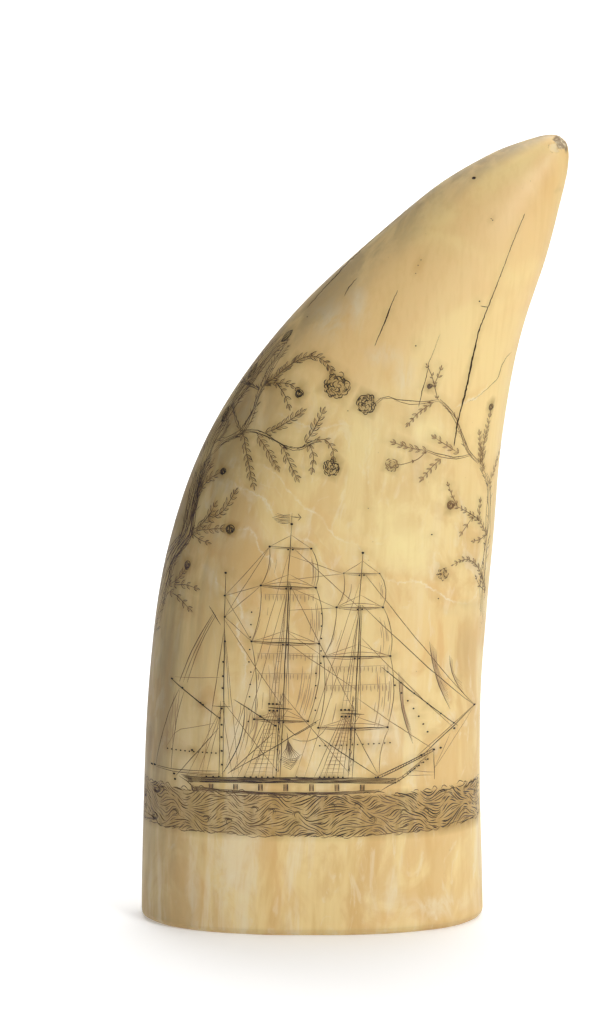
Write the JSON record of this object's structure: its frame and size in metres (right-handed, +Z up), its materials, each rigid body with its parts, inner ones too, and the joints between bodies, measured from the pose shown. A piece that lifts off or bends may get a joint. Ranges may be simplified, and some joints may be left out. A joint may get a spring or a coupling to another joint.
{
  "type": "scrimshaw whale tooth",
  "caption": "Engraved whale tooth that stands on its sawn root, with a blunt chipped tip leaning to one side and an open pulp cavity below.",
  "frame": {"origin": "under the middle of the outer box, on the surface that the tooth stands on", "axes": "+Z up; the tip leans to +X; the engraved face looks along -Y"},
  "size_m": [0.0894, 0.047, 0.1658],
  "materials": {
    "ivory": "satin, polished towards the tip"
  },
  "bodies": {
    "root": {"tooth": "ivory"}
  },
  "joints": []
}
